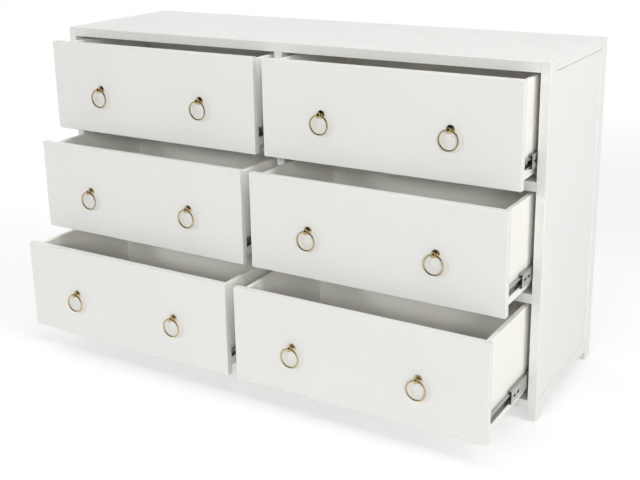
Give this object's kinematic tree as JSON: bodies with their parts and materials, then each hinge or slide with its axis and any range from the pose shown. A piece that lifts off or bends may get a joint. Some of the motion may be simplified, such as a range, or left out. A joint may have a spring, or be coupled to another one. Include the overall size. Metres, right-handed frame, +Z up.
{
  "type": "double chest of drawers",
  "caption": "Low wide white lacquered chest of drawers: two bays of inset drawers on telescopic ball runners, hanging brass ring pulls, framed sides on short legs.",
  "frame": {"origin": "on the floor, under the middle of the whole part as it stands with its drawers part open", "axes": "+X to the right seen from the front, +Y from the drawer fronts to the back, +Z up"},
  "size_m": [1.372, 0.66, 0.838],
  "materials": {
    "white_lacquer": "satin white lacquer",
    "drawer_board": "white melamine board",
    "back_board": "painted hardboard",
    "brass": "polished brass",
    "zinc_steel": "bright zinc plate",
    "glide_plastic": "matt"
  },
  "bodies": {
    "case": {"top_panel": "white_lacquer", "left_front_leg": "white_lacquer", "left_rear_leg": "white_lacquer", "right_front_leg": "white_lacquer", "right_rear_leg": "white_lacquer", "left_side_panel": "white_lacquer", "right_side_panel": "white_lacquer", "left_side_rails": "white_lacquer", "right_side_rails": "white_lacquer", "centre_partition": "white_lacquer", "front_rails": "white_lacquer", "bottom_front_rail": "white_lacquer", "bottom_panel": "back_board", "back_panel": "back_board", "rear_rails": "drawer_board", "foot_glides": "glide_plastic", "left_case_runners": "zinc_steel", "right_case_runners": "zinc_steel"},
    "upper_left_drawer": {"upper_left_drawer_front": "white_lacquer", "upper_left_drawer_box": "drawer_board", "upper_left_drawer_runners": "zinc_steel", "upper_left_pull_posts": "brass"},
    "upper_left_slides": {"upper_left_runner_slides": "zinc_steel"},
    "upper_left_left_ring": {"upper_left_drawer_left_ring": "brass"},
    "upper_left_right_ring": {"upper_left_drawer_right_ring": "brass"},
    "middle_left_drawer": {"middle_left_drawer_front": "white_lacquer", "middle_left_drawer_box": "drawer_board", "middle_left_drawer_runners": "zinc_steel", "middle_left_pull_posts": "brass"},
    "middle_left_slides": {"middle_left_runner_slides": "zinc_steel"},
    "middle_left_left_ring": {"middle_left_drawer_left_ring": "brass"},
    "middle_left_right_ring": {"middle_left_drawer_right_ring": "brass"},
    "lower_left_drawer": {"lower_left_drawer_front": "white_lacquer", "lower_left_drawer_box": "drawer_board", "lower_left_drawer_runners": "zinc_steel", "lower_left_pull_posts": "brass"},
    "lower_left_slides": {"lower_left_runner_slides": "zinc_steel"},
    "lower_left_left_ring": {"lower_left_drawer_left_ring": "brass"},
    "lower_left_right_ring": {"lower_left_drawer_right_ring": "brass"},
    "upper_right_drawer": {"upper_right_drawer_front": "white_lacquer", "upper_right_drawer_box": "drawer_board", "upper_right_drawer_runners": "zinc_steel", "upper_right_pull_posts": "brass"},
    "upper_right_slides": {"upper_right_runner_slides": "zinc_steel"},
    "upper_right_left_ring": {"upper_right_drawer_left_ring": "brass"},
    "upper_right_right_ring": {"upper_right_drawer_right_ring": "brass"},
    "middle_right_drawer": {"middle_right_drawer_front": "white_lacquer", "middle_right_drawer_box": "drawer_board", "middle_right_drawer_runners": "zinc_steel", "middle_right_pull_posts": "brass"},
    "middle_right_slides": {"middle_right_runner_slides": "zinc_steel"},
    "middle_right_left_ring": {"middle_right_drawer_left_ring": "brass"},
    "middle_right_right_ring": {"middle_right_drawer_right_ring": "brass"},
    "lower_right_drawer": {"lower_right_drawer_front": "white_lacquer", "lower_right_drawer_box": "drawer_board", "lower_right_drawer_runners": "zinc_steel", "lower_right_pull_posts": "brass"},
    "lower_right_slides": {"lower_right_runner_slides": "zinc_steel"},
    "lower_right_left_ring": {"lower_right_drawer_left_ring": "brass"},
    "lower_right_right_ring": {"lower_right_drawer_right_ring": "brass"}
  },
  "joints": [
    {"name": "upper_left_drawer_slide", "type": "slide", "parent": "case", "child": "upper_left_drawer", "axis": [0, -1, 0], "range_m": [-0.09, 0.26]},
    {"name": "upper_left_runner_extension", "type": "slide", "parent": "case", "child": "upper_left_slides", "axis": [0, -1, 0], "range_m": [-0.045, 0.13]},
    {"name": "upper_left_left_ring_swing", "type": "hinge", "parent": "upper_left_drawer", "child": "upper_left_left_ring", "pos_m": [-0.49975, -0.1775, 0.694], "axis": [-1, 0, 0], "range_deg": [-10, 190]},
    {"name": "upper_left_right_ring_swing", "type": "hinge", "parent": "upper_left_drawer", "child": "upper_left_right_ring", "pos_m": [-0.17525, -0.1775, 0.694], "axis": [-1, 0, 0], "range_deg": [-10, 190]},
    {"name": "middle_left_drawer_slide", "type": "slide", "parent": "case", "child": "middle_left_drawer", "axis": [0, -1, 0], "range_m": [-0.157, 0.193]},
    {"name": "middle_left_runner_extension", "type": "slide", "parent": "case", "child": "middle_left_slides", "axis": [0, -1, 0], "range_m": [-0.0785, 0.0965]},
    {"name": "middle_left_left_ring_swing", "type": "hinge", "parent": "middle_left_drawer", "child": "middle_left_left_ring", "pos_m": [-0.49975, -0.2445, 0.432], "axis": [-1, 0, 0], "range_deg": [-10, 190]},
    {"name": "middle_left_right_ring_swing", "type": "hinge", "parent": "middle_left_drawer", "child": "middle_left_right_ring", "pos_m": [-0.17525, -0.2445, 0.432], "axis": [-1, 0, 0], "range_deg": [-10, 190]},
    {"name": "lower_left_drawer_slide", "type": "slide", "parent": "case", "child": "lower_left_drawer", "axis": [0, -1, 0], "range_m": [-0.238, 0.112]},
    {"name": "lower_left_runner_extension", "type": "slide", "parent": "case", "child": "lower_left_slides", "axis": [0, -1, 0], "range_m": [-0.119, 0.056]},
    {"name": "lower_left_left_ring_swing", "type": "hinge", "parent": "lower_left_drawer", "child": "lower_left_left_ring", "pos_m": [-0.49975, -0.3255, 0.17], "axis": [-1, 0, 0], "range_deg": [-10, 190]},
    {"name": "lower_left_right_ring_swing", "type": "hinge", "parent": "lower_left_drawer", "child": "lower_left_right_ring", "pos_m": [-0.17525, -0.3255, 0.17], "axis": [-1, 0, 0], "range_deg": [-10, 190]},
    {"name": "upper_right_drawer_slide", "type": "slide", "parent": "case", "child": "upper_right_drawer", "axis": [0, -1, 0], "range_m": [-0.09, 0.26]},
    {"name": "upper_right_runner_extension", "type": "slide", "parent": "case", "child": "upper_right_slides", "axis": [0, -1, 0], "range_m": [-0.045, 0.13]},
    {"name": "upper_right_left_ring_swing", "type": "hinge", "parent": "upper_right_drawer", "child": "upper_right_left_ring", "pos_m": [0.17525, -0.1775, 0.694], "axis": [-1, 0, 0], "range_deg": [-10, 190]},
    {"name": "upper_right_right_ring_swing", "type": "hinge", "parent": "upper_right_drawer", "child": "upper_right_right_ring", "pos_m": [0.49975, -0.1775, 0.694], "axis": [-1, 0, 0], "range_deg": [-10, 190]},
    {"name": "middle_right_drawer_slide", "type": "slide", "parent": "case", "child": "middle_right_drawer", "axis": [0, -1, 0], "range_m": [-0.157, 0.193]},
    {"name": "middle_right_runner_extension", "type": "slide", "parent": "case", "child": "middle_right_slides", "axis": [0, -1, 0], "range_m": [-0.0785, 0.0965]},
    {"name": "middle_right_left_ring_swing", "type": "hinge", "parent": "middle_right_drawer", "child": "middle_right_left_ring", "pos_m": [0.17525, -0.2445, 0.432], "axis": [-1, 0, 0], "range_deg": [-10, 190]},
    {"name": "middle_right_right_ring_swing", "type": "hinge", "parent": "middle_right_drawer", "child": "middle_right_right_ring", "pos_m": [0.49975, -0.2445, 0.432], "axis": [-1, 0, 0], "range_deg": [-10, 190]},
    {"name": "lower_right_drawer_slide", "type": "slide", "parent": "case", "child": "lower_right_drawer", "axis": [0, -1, 0], "range_m": [-0.238, 0.112]},
    {"name": "lower_right_runner_extension", "type": "slide", "parent": "case", "child": "lower_right_slides", "axis": [0, -1, 0], "range_m": [-0.119, 0.056]},
    {"name": "lower_right_left_ring_swing", "type": "hinge", "parent": "lower_right_drawer", "child": "lower_right_left_ring", "pos_m": [0.17525, -0.3255, 0.17], "axis": [-1, 0, 0], "range_deg": [-10, 190]},
    {"name": "lower_right_right_ring_swing", "type": "hinge", "parent": "lower_right_drawer", "child": "lower_right_right_ring", "pos_m": [0.49975, -0.3255, 0.17], "axis": [-1, 0, 0], "range_deg": [-10, 190]}
  ],
  "couplings": [
    {"joint": "upper_left_runner_extension", "follows": "upper_left_drawer_slide", "ratio": 0.5},
    {"joint": "middle_left_runner_extension", "follows": "middle_left_drawer_slide", "ratio": 0.5},
    {"joint": "lower_left_runner_extension", "follows": "lower_left_drawer_slide", "ratio": 0.5},
    {"joint": "upper_right_runner_extension", "follows": "upper_right_drawer_slide", "ratio": 0.5},
    {"joint": "middle_right_runner_extension", "follows": "middle_right_drawer_slide", "ratio": 0.5},
    {"joint": "lower_right_runner_extension", "follows": "lower_right_drawer_slide", "ratio": 0.5}
  ]
}
